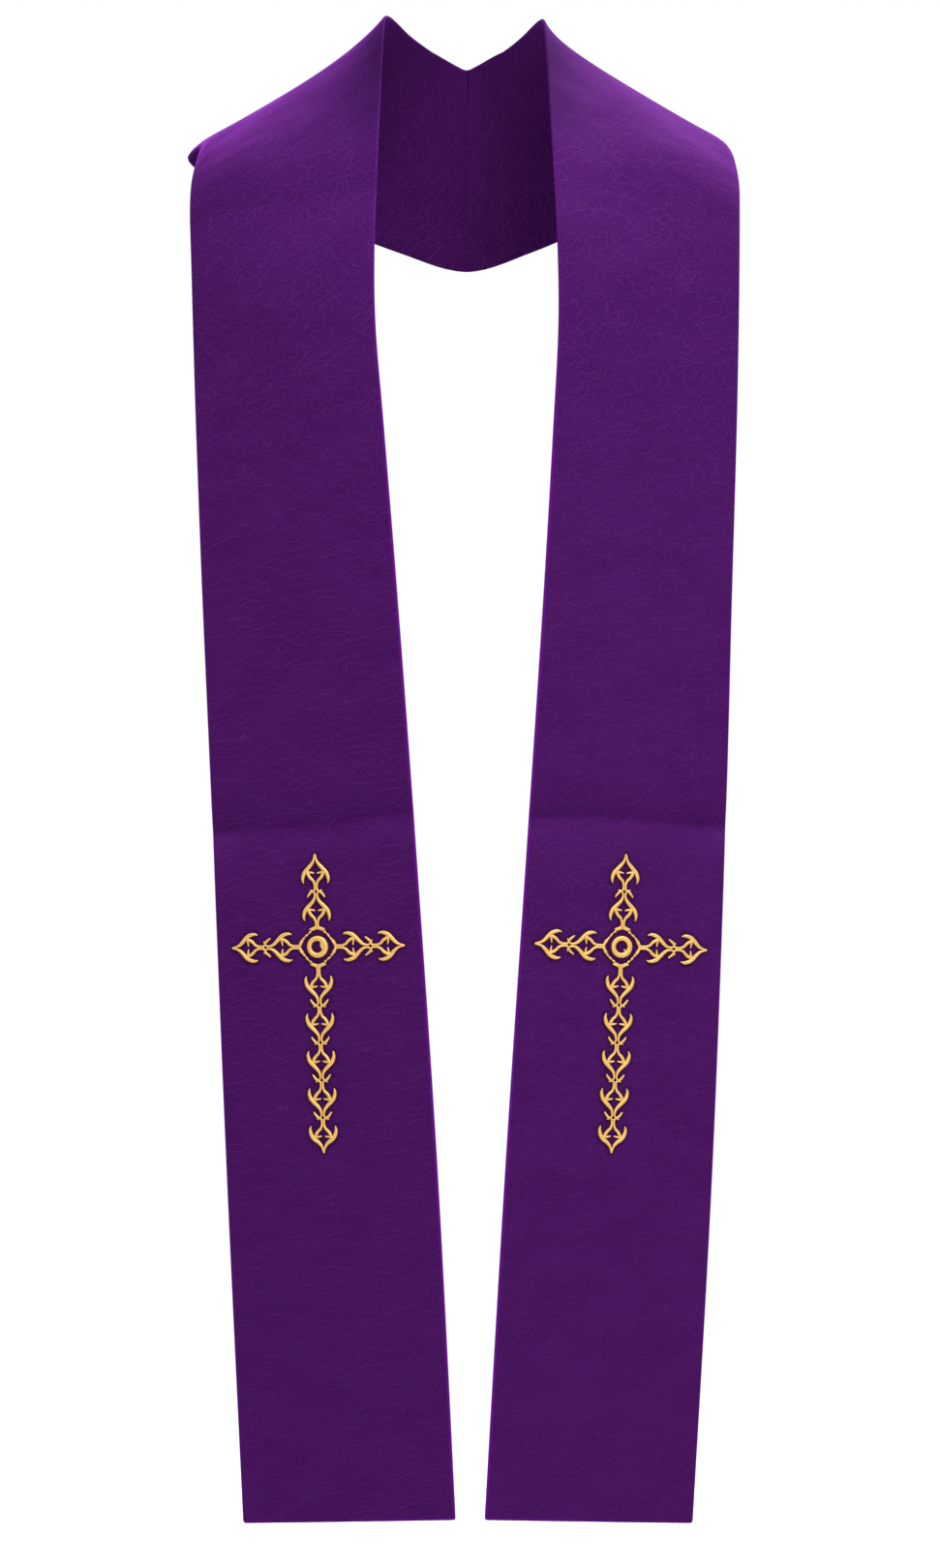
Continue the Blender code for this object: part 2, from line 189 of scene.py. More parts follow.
def floorMaterial():
    material, tree, shader = newMaterial("paleFloor")
    place = addNode(tree, "ShaderNodeTexCoord").outputs["Object"]
    tree.links.new(mixColour(tree, noise(tree, place, 3.0), studio["floorDark"], studio["floorPale"]),
                   shader.inputs["Base Color"])
    shader.inputs["Roughness"].default_value = studio["floorRoughness"]
    away = addNode(tree, "ShaderNodeVectorMath", {"operation": "LENGTH"}, i0=place).outputs["Value"]
    tree.links.new(remap(tree, away, studio["floorNear"], studio["floorFar"], 1.0, 0.0), shader.inputs["Alpha"])
    return material


makeCamera()
makeStudio()
print("camera, lights and floor are set")


cloth = {
    "wall": 2.0,               # cloth, interlining and backing together, mm
    "rollReach": 1.5,          # how far in from an edge its roll begins
    "cornerRadius": 2.4, "cornerPull": 12.0,       # of the hem's corners, and how far in from a side they are drawn
    "rowPitch": 4.5, "measureSteps": 4001,          # the band's length is measured over so many places
    "crossRowPitch": 1.7, "crossFrom": 272.0, "crossTo": 512.0,     # finer rows under the cross, mm above the hem
    "columns": 92,
    "seamGroove": 0.9, "seamReach": 1.6,       # the dent along the centre-back seam
    "edgeSteps": (0.0, 0.08, 0.3, 0.7, 1.2, 1.9, 3.2), "seamSteps": (2.0, 1.2, 0.6, 0.0),     # rows near an edge
    "creaseShape": 1.05,       # 1 is a sharp fold, 2 a soft one
    "creaseRowPitch": 1.6, "creaseRows": 16.0,      # finer rows this near to a crease, mm
    "wanderWaves": 7.0, "wanderStart": 2.0,         # how a crease's line wanders over the width, radians
    "dipAt": 1 / 3, "standAt": 0.12, "pointAt": 0.06,       # where across the width each is deepest
    "innerLine": 0.10, "outerLine": 0.16,           # a smaller value makes the painted highlight line along that edge wider
    "underShade": 0.15,        # how much darker the inner face is
    "patternSize": 100.0,      # mm that the cloth's pattern counts as one
}
# Sections from the front hem over the shoulder to the centre back, each from the inner to the outer edge.
sectionColumns = ("inXright", "inXleft", "inY", "inZright", "inZleft", "outXright", "outXleft", "outY", "outZ",
                  "bow", "dipRight", "dipLeft", "standRight", "standLeft", "point")
sections = (
    (8.2, 13.6, -128, -1145, -1145, 169.6, 171.7, -88, -1153, 1.0, 0, 0, 0, 0, 0),          # hem
    (22.2, 29.5, -128, -876, -876, 182.4, 186.8, -86, -884, 1.5, 0, 0, 0, 0, 0),            # below the cross
    (39.8, 47.0, -127, -616, -616, 193.3, 197.0, -83, -624, 1.5, 0, 0, 0, 0, 0),            # pack fold
    (52.4, 58.2, -125, -446, -446, 201.0, 201.9, -79, -454, 2.5, 0, 0, 0, 0, 0),            # waist
    (62.1, 65.2, -121, -326, -326, 205.9, 205.7, -73, -334, 3.5, 0, 0, 0, 0, 0),            # lower chest
    (68.6, 69.2, -114, -246, -246, 208.8, 207.8, -66, -254, 4.5, 0, 0, 0, 0, 0),            # chest
    (69.5, 68.5, -100, -178, -178, 210.8, 208.9, -59, -196, 5.0, 0.5, 0.5, 0, 0, 0),        # upper chest
    (68.1, 66.3, -80, -124, -124, 212.4, 209.6, -50, -158, 5.0, 2.2, 2.0, 0, 0.5, 0.5),     # collarbone
    (66.7, 64.2, -55, -76, -76, 212.0, 209.8, -39, -133, 4.0, 4.2, 3.7, 0, 1.2, 1.0),       # front shoulder
    (65.4, 62.3, -29, -32, -34, 209.2, 207.6, -25, -115, 3.0, 6.2, 5.2, 0, 2.2, 1.8),       # below the ridge
    (64.4, 60.9, -11, -6, -8, 206.8, 204.9, -14, -105, 1.5, 6.8, 5.6, 0.3, 3.0, 2.4),       # near the ridge
    (63.6, 60.2, -2, 2.6, 0, 206.0, 201.5, -3, -100.5, 1.0, 6.8, 5.6, 0.3, 3.0, 2.6),       # ridge
    (60.0, 57.2, 8, 3.6, 1, 212.6, 197.5, 11, -101.5, 1.5, 6.8, 5.6, 0.3, 2.5, 2.6),        # behind the ridge
    (54.0, 52.0, 19, 0, -2, 217.8, 190.0, 26, -106, 3.0, 5.8, 5.0, 0, 2.0, 2.2),            # back shoulder
    (45.0, 44.0, 33, -7, -8, 204.0, 175.0, 45, -116, 5.0, 4.2, 4.0, 0, 1.0, 1.3),           # yoke
    (33.5, 33.0, 46, -14, -15, 167.0, 148.0, 63, -130, 6.0, 2.5, 2.5, 0, 0.3, 0.5),         # back neck
    (20.0, 20.0, 57.5, -21, -21, 112.0, 103.0, 80, -150, 5.0, 1.0, 1.0, 0, 0, 0),           # upper back
    (8.0, 8.0, 64, -27, -27, 55.0, 52.0, 93, -171, 4.0, 0, 0, 0, 0, 0),                     # by the seam
    (0.0, 0.0, 66, -30, -30, 0.0, 0.0, 98, -186, 3.5, 0, 0, 0, 0, 0),                       # centre back
)
# Creases: place in sections from the hem, reach above and below it, how far the line wanders and how far its middle
# is lifted, and for each half its depth at the inner and the outer edge and how much lower it is at the outer one.
# The first is the fold left by packing. All are in mm but the place.
creases = (
    {"at": 2.00, "above": 12.0, "below": 22.0, "wander": 1.5, "lift": 0.0,
     "right": (6.6, 6.8, 5.0), "left": (6.4, 6.6, -1.0)},
    {"at": 6.69, "above": 15.0, "below": 30.0, "wander": 1.5, "lift": 7.0,
     "right": (5.2, 3.0, 0.0), "left": (1.4, 0.4, 0.0)},
    {"at": 15.4, "above": 8.0, "below": 12.0, "wander": 2.0, "lift": 0.0,
     "right": (0.8, 1.4, 0.0), "left": (1.4, 0.8, 0.0)},
)
# The cloth has a painted highlight just below the packing fold, by these amounts at these shares of the width, and a
# painted shade along its line. Reaches in mm.
packingFold = {
    "shares": (0.0, 0.30, 0.75, 1.0), "right": (0.20, 0.10, 0.10, 0.50), "left": (0.22, 0.18, 0.18, 0.52),
    "litReach": 15.0, "softReach": 3.5, "dark": 0.10, "darkReach": 5.0,
}
# The shade beside the neck: a line along the edge, a narrow shade next to it, and a broad one with its strength and
# reach for each half. Where each begins and how soon it is full is in sections from the hem, the rest in mm.
neckShade = {
    "from": 8.2, "over": 1.2, "line": 1.4, "lineStrength": 0.9, "strength": 0.6, "reach": 16.0, "most": 0.9,
    "broadFrom": 7.3, "broadOver": 0.8, "broad": {"right": (0.58, 38.0), "left": (0.60, 28.0)},
}
# Soft rolls in front of the shoulder and over the chest: place at the inner edge, how much lower it is at the outer
# one, reach, and for each half the height and the share where it is highest.
softRolls = (
    {"at": 9.0, "slant": 1.6, "reach": 30.0, "right": (6.6, 0.74), "left": (6.6, 0.72)},
    {"at": 5.5, "slant": 0.0, "reach": 42.0, "right": (5.0, 0.50), "left": (3.0, 0.50)},
)


def sectionColumn(name):
    place = sectionColumns.index(name)
    return np.array([float(row[place]) for row in sections])


def throughSections(values, places, seam=1.0):
    # a smooth curve through the sections, which goes on past the seam as the other half does
    last = len(values) - 1
    start = np.minimum(places.astype(int), last - 1)
    part = places - start
    padded = np.concatenate([[2 * values[0] - values[1]], values, [seam * values[last - 1]]])
    before, near, far, after = (padded[start + step] for step in range(4))
    return near + 0.5 * part * (far - before + part * (2 * before - 5 * near + 4 * far - after
                                                       + part * (3 * (near - far) + after - before)))


def sectionSpacing(at):
    number = min(int(at), len(sections) - 2)
    ends = (("inXleft", "outXleft"), ("inY", "outY"), ("inZleft", "outZ"))
    middle = [(sectionColumn(a) + sectionColumn(b)) / 2 for a, b in ends]
    return float(np.sqrt(sum((line[number + 1] - line[number]) ** 2 for line in middle)))


def rowPlaces():
    # rows at an even pitch along the band, finer under the cross and at the creases, and finest where the hem rolls
    fine = np.linspace(0, len(sections) - 1, cloth["measureSteps"])
    spacing = np.array([sectionSpacing(place) for place in fine[:-1]]) * np.diff(fine)
    along = np.concatenate([[0.0], np.cumsum(spacing)])
    marks = list(cloth["edgeSteps"][:-1])
    folds = np.interp([crease["at"] for crease in creases], fine, along)
    while marks[-1] < along[-1] - cloth["rowPitch"]:
        pitch = cloth["crossRowPitch"] if cloth["crossFrom"] < marks[-1] < cloth["crossTo"] else cloth["rowPitch"]
        if np.abs(folds - marks[-1]).min() < cloth["creaseRows"]:
            pitch = min(pitch, cloth["creaseRowPitch"])
        marks.append(marks[-1] + pitch)
    marks += [along[-1] - step for step in cloth["seamSteps"]]
    return np.interp(sorted(marks), along, fine)


def outwardNormals(points, side):
    normals = np.cross(np.gradient(points, axis=1), np.gradient(points, axis=0)) * side
    normals[-1, :, 0] = 0.0      # the seam lies in the middle plane
    return normals / np.linalg.norm(normals, axis=2, keepdims=True)


def humpBeside(away):
    return away * np.exp(1 - away)


def aboveCrease(crease, half, places, share):
    # how far above the crease's wandering line each point is, in mm
    wander = crease["wander"] * np.sin(cloth["wanderWaves"] * share + cloth["wanderStart"] * halves[half])
    wander = wander - crease["lift"] * np.sin(math.pi * share)
    away = (places[:, None] - crease["at"]) * sectionSpacing(crease["at"])
    return away + wander + crease[half][2] * share ** 2


def formGrid(half, places, share):
    # the outer face of one half, at these places and shares of its width: points and outward normals, in mm
    side = halves[half]
    cap = half.capitalize()

    def column(name):
        return throughSections(sectionColumn(name), places)[:, None]

    edges = []
    for edge in ("in", "out"):
        x = side * np.maximum(throughSections(sectionColumn(edge + "X" + half), places, -1.0), 0.0)
        y = throughSections(sectionColumn(edge + "Y"), places)
        z = throughSections(sectionColumn("inZ" + half if edge == "in" else "outZ"), places)
        edges.append(np.stack([x, y, z], axis=1))
    inner, outer = edges
    points = inner[:, None] * (1 - share)[..., None] + outer[:, None] * share[..., None]
    dipShape = share * (1 - share) ** 2 / (cloth["dipAt"] * (1 - cloth["dipAt"]) ** 2)
    out = column("bow") * 4 * share * (1 - share)
    out = out - column("dip" + cap) * dipShape
    out = out - column("stand" + cap) * humpBeside(share / cloth["standAt"])
    out = out + column("point") * humpBeside((1 - share) / cloth["pointAt"])
    fromSeam = (len(sections) - 1 - places) * sectionSpacing(len(sections) - 2)
    out = out - cloth["seamGroove"] * np.exp(-fromSeam / cloth["seamReach"])[:, None]
    folded = np.zeros_like(share)
    for crease in creases:
        away = aboveCrease(crease, half, places, share)
        away = away / np.where(away > 0, crease["above"], crease["below"])
        depthIn, depthOut, _ = crease[half]
        folded += np.exp(-np.abs(away) ** cloth["creaseShape"]) * (depthIn + (depthOut - depthIn) * share)
    for roll in softRolls:
        height, top = roll[half]
        rise = share ** (top / (1 - top)) * (1 - share)
        away = places[:, None] - roll["at"] + roll["slant"] * share
        away = away * sectionSpacing(roll["at"]) / roll["reach"]
        out = out + height * np.exp(-away ** 2) * rise / (top ** (top / (1 - top)) * (1 - top))
    normals = outwardNormals(points, side)
    points = points + normals * out[..., None]
    points = points - normals * (0, 1, 1) * folded[..., None]      # not sideways, so the outline stays
    return points, outwardNormals(points, side)


def halfGrid(half):
    places = rowPlaces()
    inner, outer = formGrid(half, places, np.tile([0.0, 1.0], (len(places), 1)))[0].transpose(1, 0, 2)
    width = np.linalg.norm(outer - inner, axis=1)
    steps = np.array(cloth["edgeSteps"])
    middle = np.linspace(0.0, 1.0, cloth["columns"] + 1)
    fromEdge = np.concatenate([steps[:-1], np.zeros(len(middle)), np.zeros(len(steps) - 1)])
    share = np.empty((len(places), len(fromEdge)))
    for row, across in enumerate(width):
        near = steps[:-1] / across
        core = steps[-1] / across + middle * (1 - 2 * steps[-1] / across)
        share[row] = np.concatenate([near, core, 1 - near[::-1]])
    points, normals = formGrid(half, places, share)
    rail = (inner + outer) / 2
    along = np.concatenate([[0.0], np.cumsum(np.linalg.norm(np.diff(rail, axis=0), axis=1))])
    return {"points": points, "normals": normals, "share": share, "width": width, "along": along, "places": places}


cross = {
    "aboveHem": 434.3,         # the crossing, mm along the band's middle
    "aside": {"right": 0.6, "left": -0.6},
    "turn": {"right": 1.4, "left": 0.2},
    "relief": 1.6, "sink": 0.6,             # how high a stroke stands, and how far its sides go into the cloth
    "fullWidth": 2.4,          # a stroke narrower than this stands lower
    "spread": 0.25,            # how far the stitches spread past the drawn width
    "frameReach": 14.4, "frameCorner": 1.35,        # 1 is a square on its corner, 2 a circle
    "frameStep": 0.02, "thornApart": 0.45,
    "ringOuter": 8.4, "ringWidth": 3.8, "ringPoints": 73, "insidePitch": 0.3,
    "unitLength": 28.3, "stemLeaves": 22.4,         # the scroll that the tables hold, and where its stem leaves it
    "strandWidth": 1.65, "strandAside": (0.85, 0.8), "strandShort": 1.4, "strandUnder": 0.6,      # two to a stem
    "acrossCells": 8, "pointPitch": 0.7, "roundSteps": (0.35, 0.65, 0.87, 0.98),
    "shade": 0.70, "shadeReach": 3.2, "shadeCurve": 1.4,       # painted shade: the cloth is darker beside a stroke
    "puckerDepth": 0.45, "puckerReach": 1.5,        # and drawn down
    "nearReach": 9.0, "farAway": 99.0,              # nothing further than the first is measured
}
# Each ring: where it is thickest, by how much, and the small stroke inside it.
rings = {
    "right": {"thickAt": 180, "swell": 1.0,
              "inside": ((-5.6, 3.4, 3.0), (-4.0, 2.4, 4.2), (-3.6, 0.8, 3.6), (-3.9, -0.8, 2.2))},
    "left": {"thickAt": -40, "swell": 0.5,
             "inside": ((4.9, -3.0, 1.8), (3.0, -3.2, 1.5), (2.2, -2.0, 1.1))},
}
# Each arm: its way out from the crossing, where the first scroll springs, pitch and number of the scrolls, and how
# long the tip is.
arms = (
    {"way": (0, -1), "first": 23.2, "pitch": 28.3, "scrolls": 5, "tip": 19.2},
    {"way": (0, 1), "first": 20.9, "pitch": 28.2, "scrolls": 2, "tip": 20.9},
    {"way": (-1, 0), "first": 21.4, "pitch": 27.2, "scrolls": 2, "tip": 19.4},
    {"way": (1, 0), "first": 21.4, "pitch": 27.2, "scrolls": 2, "tip": 19.4},
)
# One scroll's strokes: distance out along the arm from where it springs, distance to the side, width.
strokeTables = {
    "horn": ((-0.8, 9.6, 0.8), (0.8, 10.1, 1.8), (3.2, 10.0, 2.7), (6.6, 8.8, 3.1), (9.4, 6.4, 3.1),
             (11.8, 4.0, 2.8), (14.4, 1.9, 2.3), (16.6, 1.1, 1.9), (19.2, 0.95, 1.5), (20.9, 2.0, 1.3),
             (22.7, 0.9, 1.5)),
    "arch": ((-2.4, 0.8, 1.6), (0.6, 1.8, 2.0), (2.8, 4.0, 2.3), (5.0, 5.5, 2.5), (7.4, 6.4, 2.2)),
    "spur": ((7.3, 5.6, 1.7), (7.0, 3.5, 1.5), (6.6, 1.5, 0.9)),
    "barb": ((21.2, 1.9, 1.3), (20.7, 3.5, 1.8), (19.3, 5.0, 1.9), (17.0, 6.7, 1.2)),
    "stub": ((21.4, 2.4, 1.0), (21.8, 3.6, 1.1), (21.9, 4.5, 0.8)),
}
# The last scroll's horn keeps its first points and runs on to the tip. Share of the tip's length, distance to the
# side, width.
hornKept = 5
lastHorn = ((0.56, 4.3, 2.9), (0.69, 2.0, 2.3), (0.82, 0.85, 1.6), (0.97, 0.3, 1.1))
tipTable = ((0.86, 1.6), (0.94, 1.3), (1.0, 0.5))          # share of the tip's length, width
# The frame's thorns, beside an upright arm and beside a level one. Share of a quarter turn, width.
thornTables = (
    ((0.10, 1.6), (0.14, 1.9), (0.18, 0.9), (0.26, 0.9), (0.30, 2.1), (0.35, 0.9), (0.44, 0.9), (0.50, 1.4),
     (0.54, 0.6)),
    ((0.03, 1.8), (0.12, 2.3), (0.23, 2.4), (0.28, 1.0), (0.33, 2.1), (0.38, 0.9), (0.45, 0.9), (0.50, 1.3),
     (0.54, 0.6)),
)
# At the foot of an upright arm. Distance to the side, distance out, width.
footTable = ((2.0, 14.9, 1.2), (3.6, 13.7, 2.1), (5.6, 13.3, 1.3))
# How high each kind of stroke stands, as a share of the relief.
strokeRelief = {
    "horn": 1.0, "arch": 0.9, "spur": 0.7, "barb": 0.85, "stub": 0.7, "strand": 0.85, "tip": 0.9,
    "frame": 0.85, "ring": 1.25, "inside": 1.1,
}


def throughPoints(table, pitch):
    # a smooth curve through a table's points, at about this pitch
    table = np.array(table, float)
    padded = np.concatenate([[2 * table[0] - table[1]], table, [2 * table[-1] - table[-2]]])
    line = []
    for number in range(len(table) - 1):
        before, near, far, after = padded[number:number + 4]
        count = max(2, int(np.linalg.norm((far - near)[:2]) / pitch))
        part = (np.arange(count) / count)[:, None]
        line.append(near + 0.5 * part * (far - before + part * (2 * before - 5 * near + 4 * far - after
                                                                + part * (3 * (near - far) + after - before))))
    return np.concatenate(line + [table[-1:]])


def armStrokes(arm):
    way = np.array(arm["way"], float)
    beside = np.array([-way[1], way[0]])
    stretch = arm["pitch"] / cross["unitLength"]
    width, nearer, further = cross["strandWidth"], *cross["strandAside"]
    found = []

    def add(kind, table, hands=(-1.0, 1.0)):
        line = throughPoints(table, cross["pointPitch"])
        for hand in hands:
            flat = way * line[:, :1] + beside * line[:, 1:2] * hand
            found.append((kind, np.concatenate([flat, line[:, 2:]], axis=1)))

    for number in range(arm["scrolls"]):
        spring = arm["first"] + number * arm["pitch"]
        isLast = number == arm["scrolls"] - 1
        for kind, table in strokeTables.items():
            if isLast and kind in ("barb", "stub"):
                continue
            curve = np.array(table)
            curve[:, 0] = spring + curve[:, 0] * stretch
            if isLast and kind == "horn":
                onward = np.array(lastHorn)
                onward[:, 0] = spring + onward[:, 0] * arm["tip"]
                curve = np.concatenate([curve[:hornKept], onward])
            add(kind, curve)
        if not isLast:
            add("strand", [(spring + cross["stemLeaves"] * stretch, nearer, width),
                           (spring + arm["pitch"] - cross["strandShort"], further, width)])
    spring = arm["first"] + (arm["scrolls"] - 1) * arm["pitch"]
    add("tip", [(spring + share * arm["tip"], 0.0, across) for share, across in tipTable], (1.0,))
    add("strand", [(cross["frameReach"] - cross["strandUnder"], nearer, width),
                   (arm["first"] - cross["strandShort"], further, width)])
    return found


def frameStrokes():
    found = []
    for quarter in range(4):
        for hand in (0, 1):
            line = []
            table = [(share, 0.0, width) for share, width in thornTables[(quarter + hand + 1) % 2]]
            for share, width in throughPoints(table, cross["frameStep"])[:, ::2]:
                turn = (quarter + (1 - share if hand else share)) * math.pi / 2
                flat = abs(math.cos(turn)) ** cross["frameCorner"] + abs(math.sin(turn)) ** cross["frameCorner"]
                reach = cross["frameReach"] / flat ** (1 / cross["frameCorner"])
                reach += cross["thornApart"] * (1 - 2 * hand) * share
                line.append((reach * math.cos(turn), reach * math.sin(turn), width))
            found.append(("frame", np.array(line)))
    foot = throughPoints(footTable, cross["pointPitch"])
    return found + [("frame", foot * (hand, end, 1)) for hand in (-1, 1) for end in (-1, 1)]


def ringStrokes(half):
    ring = rings[half]
    angles = np.linspace(0, 2 * math.pi, cross["ringPoints"])
    swell = (0.5 + 0.5 * np.cos(angles - math.radians(ring["thickAt"]))) ** 2
    width = cross["ringWidth"] + ring["swell"] * swell
    middle = cross["ringOuter"] - width / 2
    found = [("ring", np.stack([middle * np.cos(angles), middle * np.sin(angles), width], axis=1))]
    return found + [("inside", throughPoints(ring["inside"], cross["insidePitch"]))]


def laidOnHalf(half, strokes):
    # the strokes in the half's own measure: outwards from its middle line, and up from the hem
    turn = math.radians(cross["turn"][half])
    laid = []
    for kind, line in strokes:
        line = line + (0, 0, cross["spread"])
        if kind != "ring":
            line = roundedEnds(line)
        across = line[:, 0] * math.cos(turn) - line[:, 1] * math.sin(turn) + cross["aside"][half]
        along = line[:, 0] * math.sin(turn) + line[:, 1] * math.cos(turn) + cross["aboveHem"]
        laid.append((kind, np.stack([across, along, line[:, 2]], axis=1)))
    return laid


def roundedEnds(line):
    # both ends carried on by half the width, closing in as a half circle does
    ends = []
    for end, before in ((line[0], line[1]), (line[-1], line[-2])):
        ahead = (end - before)[:2] / np.linalg.norm((end - before)[:2])
        ends.append([(*(end[:2] + ahead * end[2] / 2 * step), end[2] * math.sqrt(1 - step ** 2))
                     for step in cross["roundSteps"]])
    return np.concatenate([ends[0][::-1], line, ends[1]])


def nearThread(grid, laid):
    # distance from each point of a half to the nearest edge of a stroke, in mm
    across = (grid["share"] - 0.5) * grid["width"][:, None]
    along = np.repeat(grid["along"][:, None], across.shape[1], axis=1)
    away = np.full(across.shape, cross["farAway"])
    lines = np.concatenate([line for kind, line in laid])
    low, high = lines[:, 1].min() - cross["nearReach"], lines[:, 1].max() + cross["nearReach"]
    for row in np.flatnonzero((grid["along"] > low) & (grid["along"] < high)):
        near = lines[np.abs(lines[:, 1] - grid["along"][row]) < cross["nearReach"]]
        if len(near):
            reach = np.hypot(across[row][:, None] - near[:, 0], along[row][:, None] - near[:, 1])
            away[row] = (reach - near[:, 2] / 2).min(axis=1)
    return np.maximum(away, 0.0)


# Each range is where it runs from and to, and the values there. Heights on the cloth are in 100 mm from the hem.
violet = {
    "base": (0.058, 0.0047, 0.099, 1),
    "light": (0.096, 0.0155, 0.158, 1),     # painted highlight along the crest of a crinkle, and below the packing fold
    "dark": (0.034, 0.0028, 0.060, 1),      # painted shade in the dip beside a crest, and the darker tone of the crepe grain
    "edge": (0.135, 0.0035, 0.260, 1),      # painted highlight along the turned edge, for light that comes through it
    "shade": (0.018, 0.0014, 0.036, 1),     # beside the raised thread and along the neck
    "sheen": 0.34, "sheenRoughness": 0.42, "sheenColour": (0.60, 0.07, 1.0, 1),
    "roughness": 0.85, "specular": 0.048,
    "shift": {"right": -1.0, "left": 7.0},  # so that the halves aren't crinkled alike
    "netFrom": 7.0, "netTo": 9.2,           # the crinkles turn from level lines to a net between these heights
    "netBelow": {"right": 0.40, "left": 0.60},      # how much of the net there is lower down
    "levelBelow": {"right": 1.0, "left": 0.7},      # and of the level lines, lower down and higher up
    "levelAbove": 0.6,
    "ridgeAt": 11.25, "ridgeFade": (0.15, 0.80, 0.10, 1.0),     # they fade out over the shoulder's ridge
    "lowFade": (1.5, 5.0, 0.68, 1.0),       # and are fainter towards the hem
    # how much painted highlight the crinkles' crests get and how much painted shade their dips get
    "crinkleHeight": 0.15, "crestHighlight": 0.62, "dipShade": 0.85,
    "crepe": {"slope": 38, "stretch": 1.8, "scale": 75.0, "detail": 2.0, "rough": 0.6, "height": 0.07},
    "crepeDark": (0.36, 0.62, 0.55, 0.0),
    "waves": {"slope": 10, "stretch": 1.6, "scale": 3.2, "detail": 2.0, "height": 2.2},
    "waveLight": (0.35, 0.65, 0.0, 0.10),
    # a painted highlight along the turned edges, fainter higher up towards the shoulders
    "edgeHighlight": (0.06, 0.26, 0.80, 0.0), "edgeHighlightUp": (7.5, 10.2, 1.0, 0.15),
}
# Crinkle lines: size of the waves, how far drawn out, slope in degrees, lines in a wave, lines that run on in
# 100 mm, detail of the line, whether they are on the shoulders and chest, and share of the full height.
crinkles = (
    {"scale": 6.0, "stretch": 1.0, "slope": 36, "lines": 3.4, "on": 12.0, "detail": 3.0, "net": True, "share": 0.90},
    {"scale": 6.6, "stretch": 1.0, "slope": -44, "lines": 3.4, "on": 11.0, "detail": 3.0, "net": True, "share": 0.84},
    {"scale": 5.5, "stretch": 1.6, "slope": 14, "lines": 3.6, "on": 14.0, "detail": 2.8, "net": False, "share": 0.85},
    {"scale": 4.6, "stretch": 1.4, "slope": -8, "lines": 3.6, "on": 10.0, "detail": 2.8, "net": False, "share": 0.75},
)
crinkle = {
    "width": 0.80, "rough": 0.48,           # mm, and how rough the line is
    "step": 0.005, "stepMm": 0.5,           # the step that the slope is measured over, in 100 mm and in mm
    "leastSlope": 0.022,
    "breakScale": 7.5, "breakDetail": 1.0, "breakStretch": 1.5, "breaks": (0.36, 0.56, 0.10),
}


def crinkleFamily(tree, place, family, shift):
    # thin lines of even width along the level curves of a wavy slope: how much crest and dip there is at each place
    def field(step):
        moved = addNode(tree, "ShaderNodeVectorMath", {"operation": "ADD"}, i0=place, i1=step).outputs[0]
        spread = turned(tree, moved, family["slope"], family["stretch"], (shift, family["scale"], 0))
        waves = noise(tree, spread, family["scale"], family["detail"], crinkle["rough"])
        onward = addNode(tree, "ShaderNodeSeparateXYZ", None, Vector=spread).outputs[1]
        return mathNode(tree, "ADD", product(tree, waves, family["lines"]), product(tree, onward, family["on"]))

    here = field((0, 0, 0))
    slopes = [mathNode(tree, "POWER", mathNode(tree, "SUBTRACT", field(step), here), 2.0)
              for step in ((crinkle["step"], 0, 0), (0, crinkle["step"], 0))]
    slope = mathNode(tree, "POWER", mathNode(tree, "ADD", *slopes), 0.5)
    slope = mathNode(tree, "MAXIMUM", slope, crinkle["leastSlope"])
    apart = mathNode(tree, "SUBTRACT", mathNode(tree, "FRACT", here), 0.5)
    apart = product(tree, mathNode(tree, "DIVIDE", apart, slope), crinkle["stepMm"])      # mm from the line
    sides = []
    for middle in (crinkle["width"] / 2, -crinkle["width"] / 2):
        away = mathNode(tree, "ABSOLUTE", mathNode(tree, "SUBTRACT", apart, middle))
        sides.append(remap(tree, away, 0.0, crinkle["width"], 1.0, 0.0))
    broken = turned(tree, place, 0, crinkle["breakStretch"], (family["scale"] * 3, shift, 0))
    broken = noise(tree, broken, crinkle["breakScale"], crinkle["breakDetail"])
    return [product(tree, side, remap(tree, broken, *crinkle["breaks"], family["share"])) for side in sides]


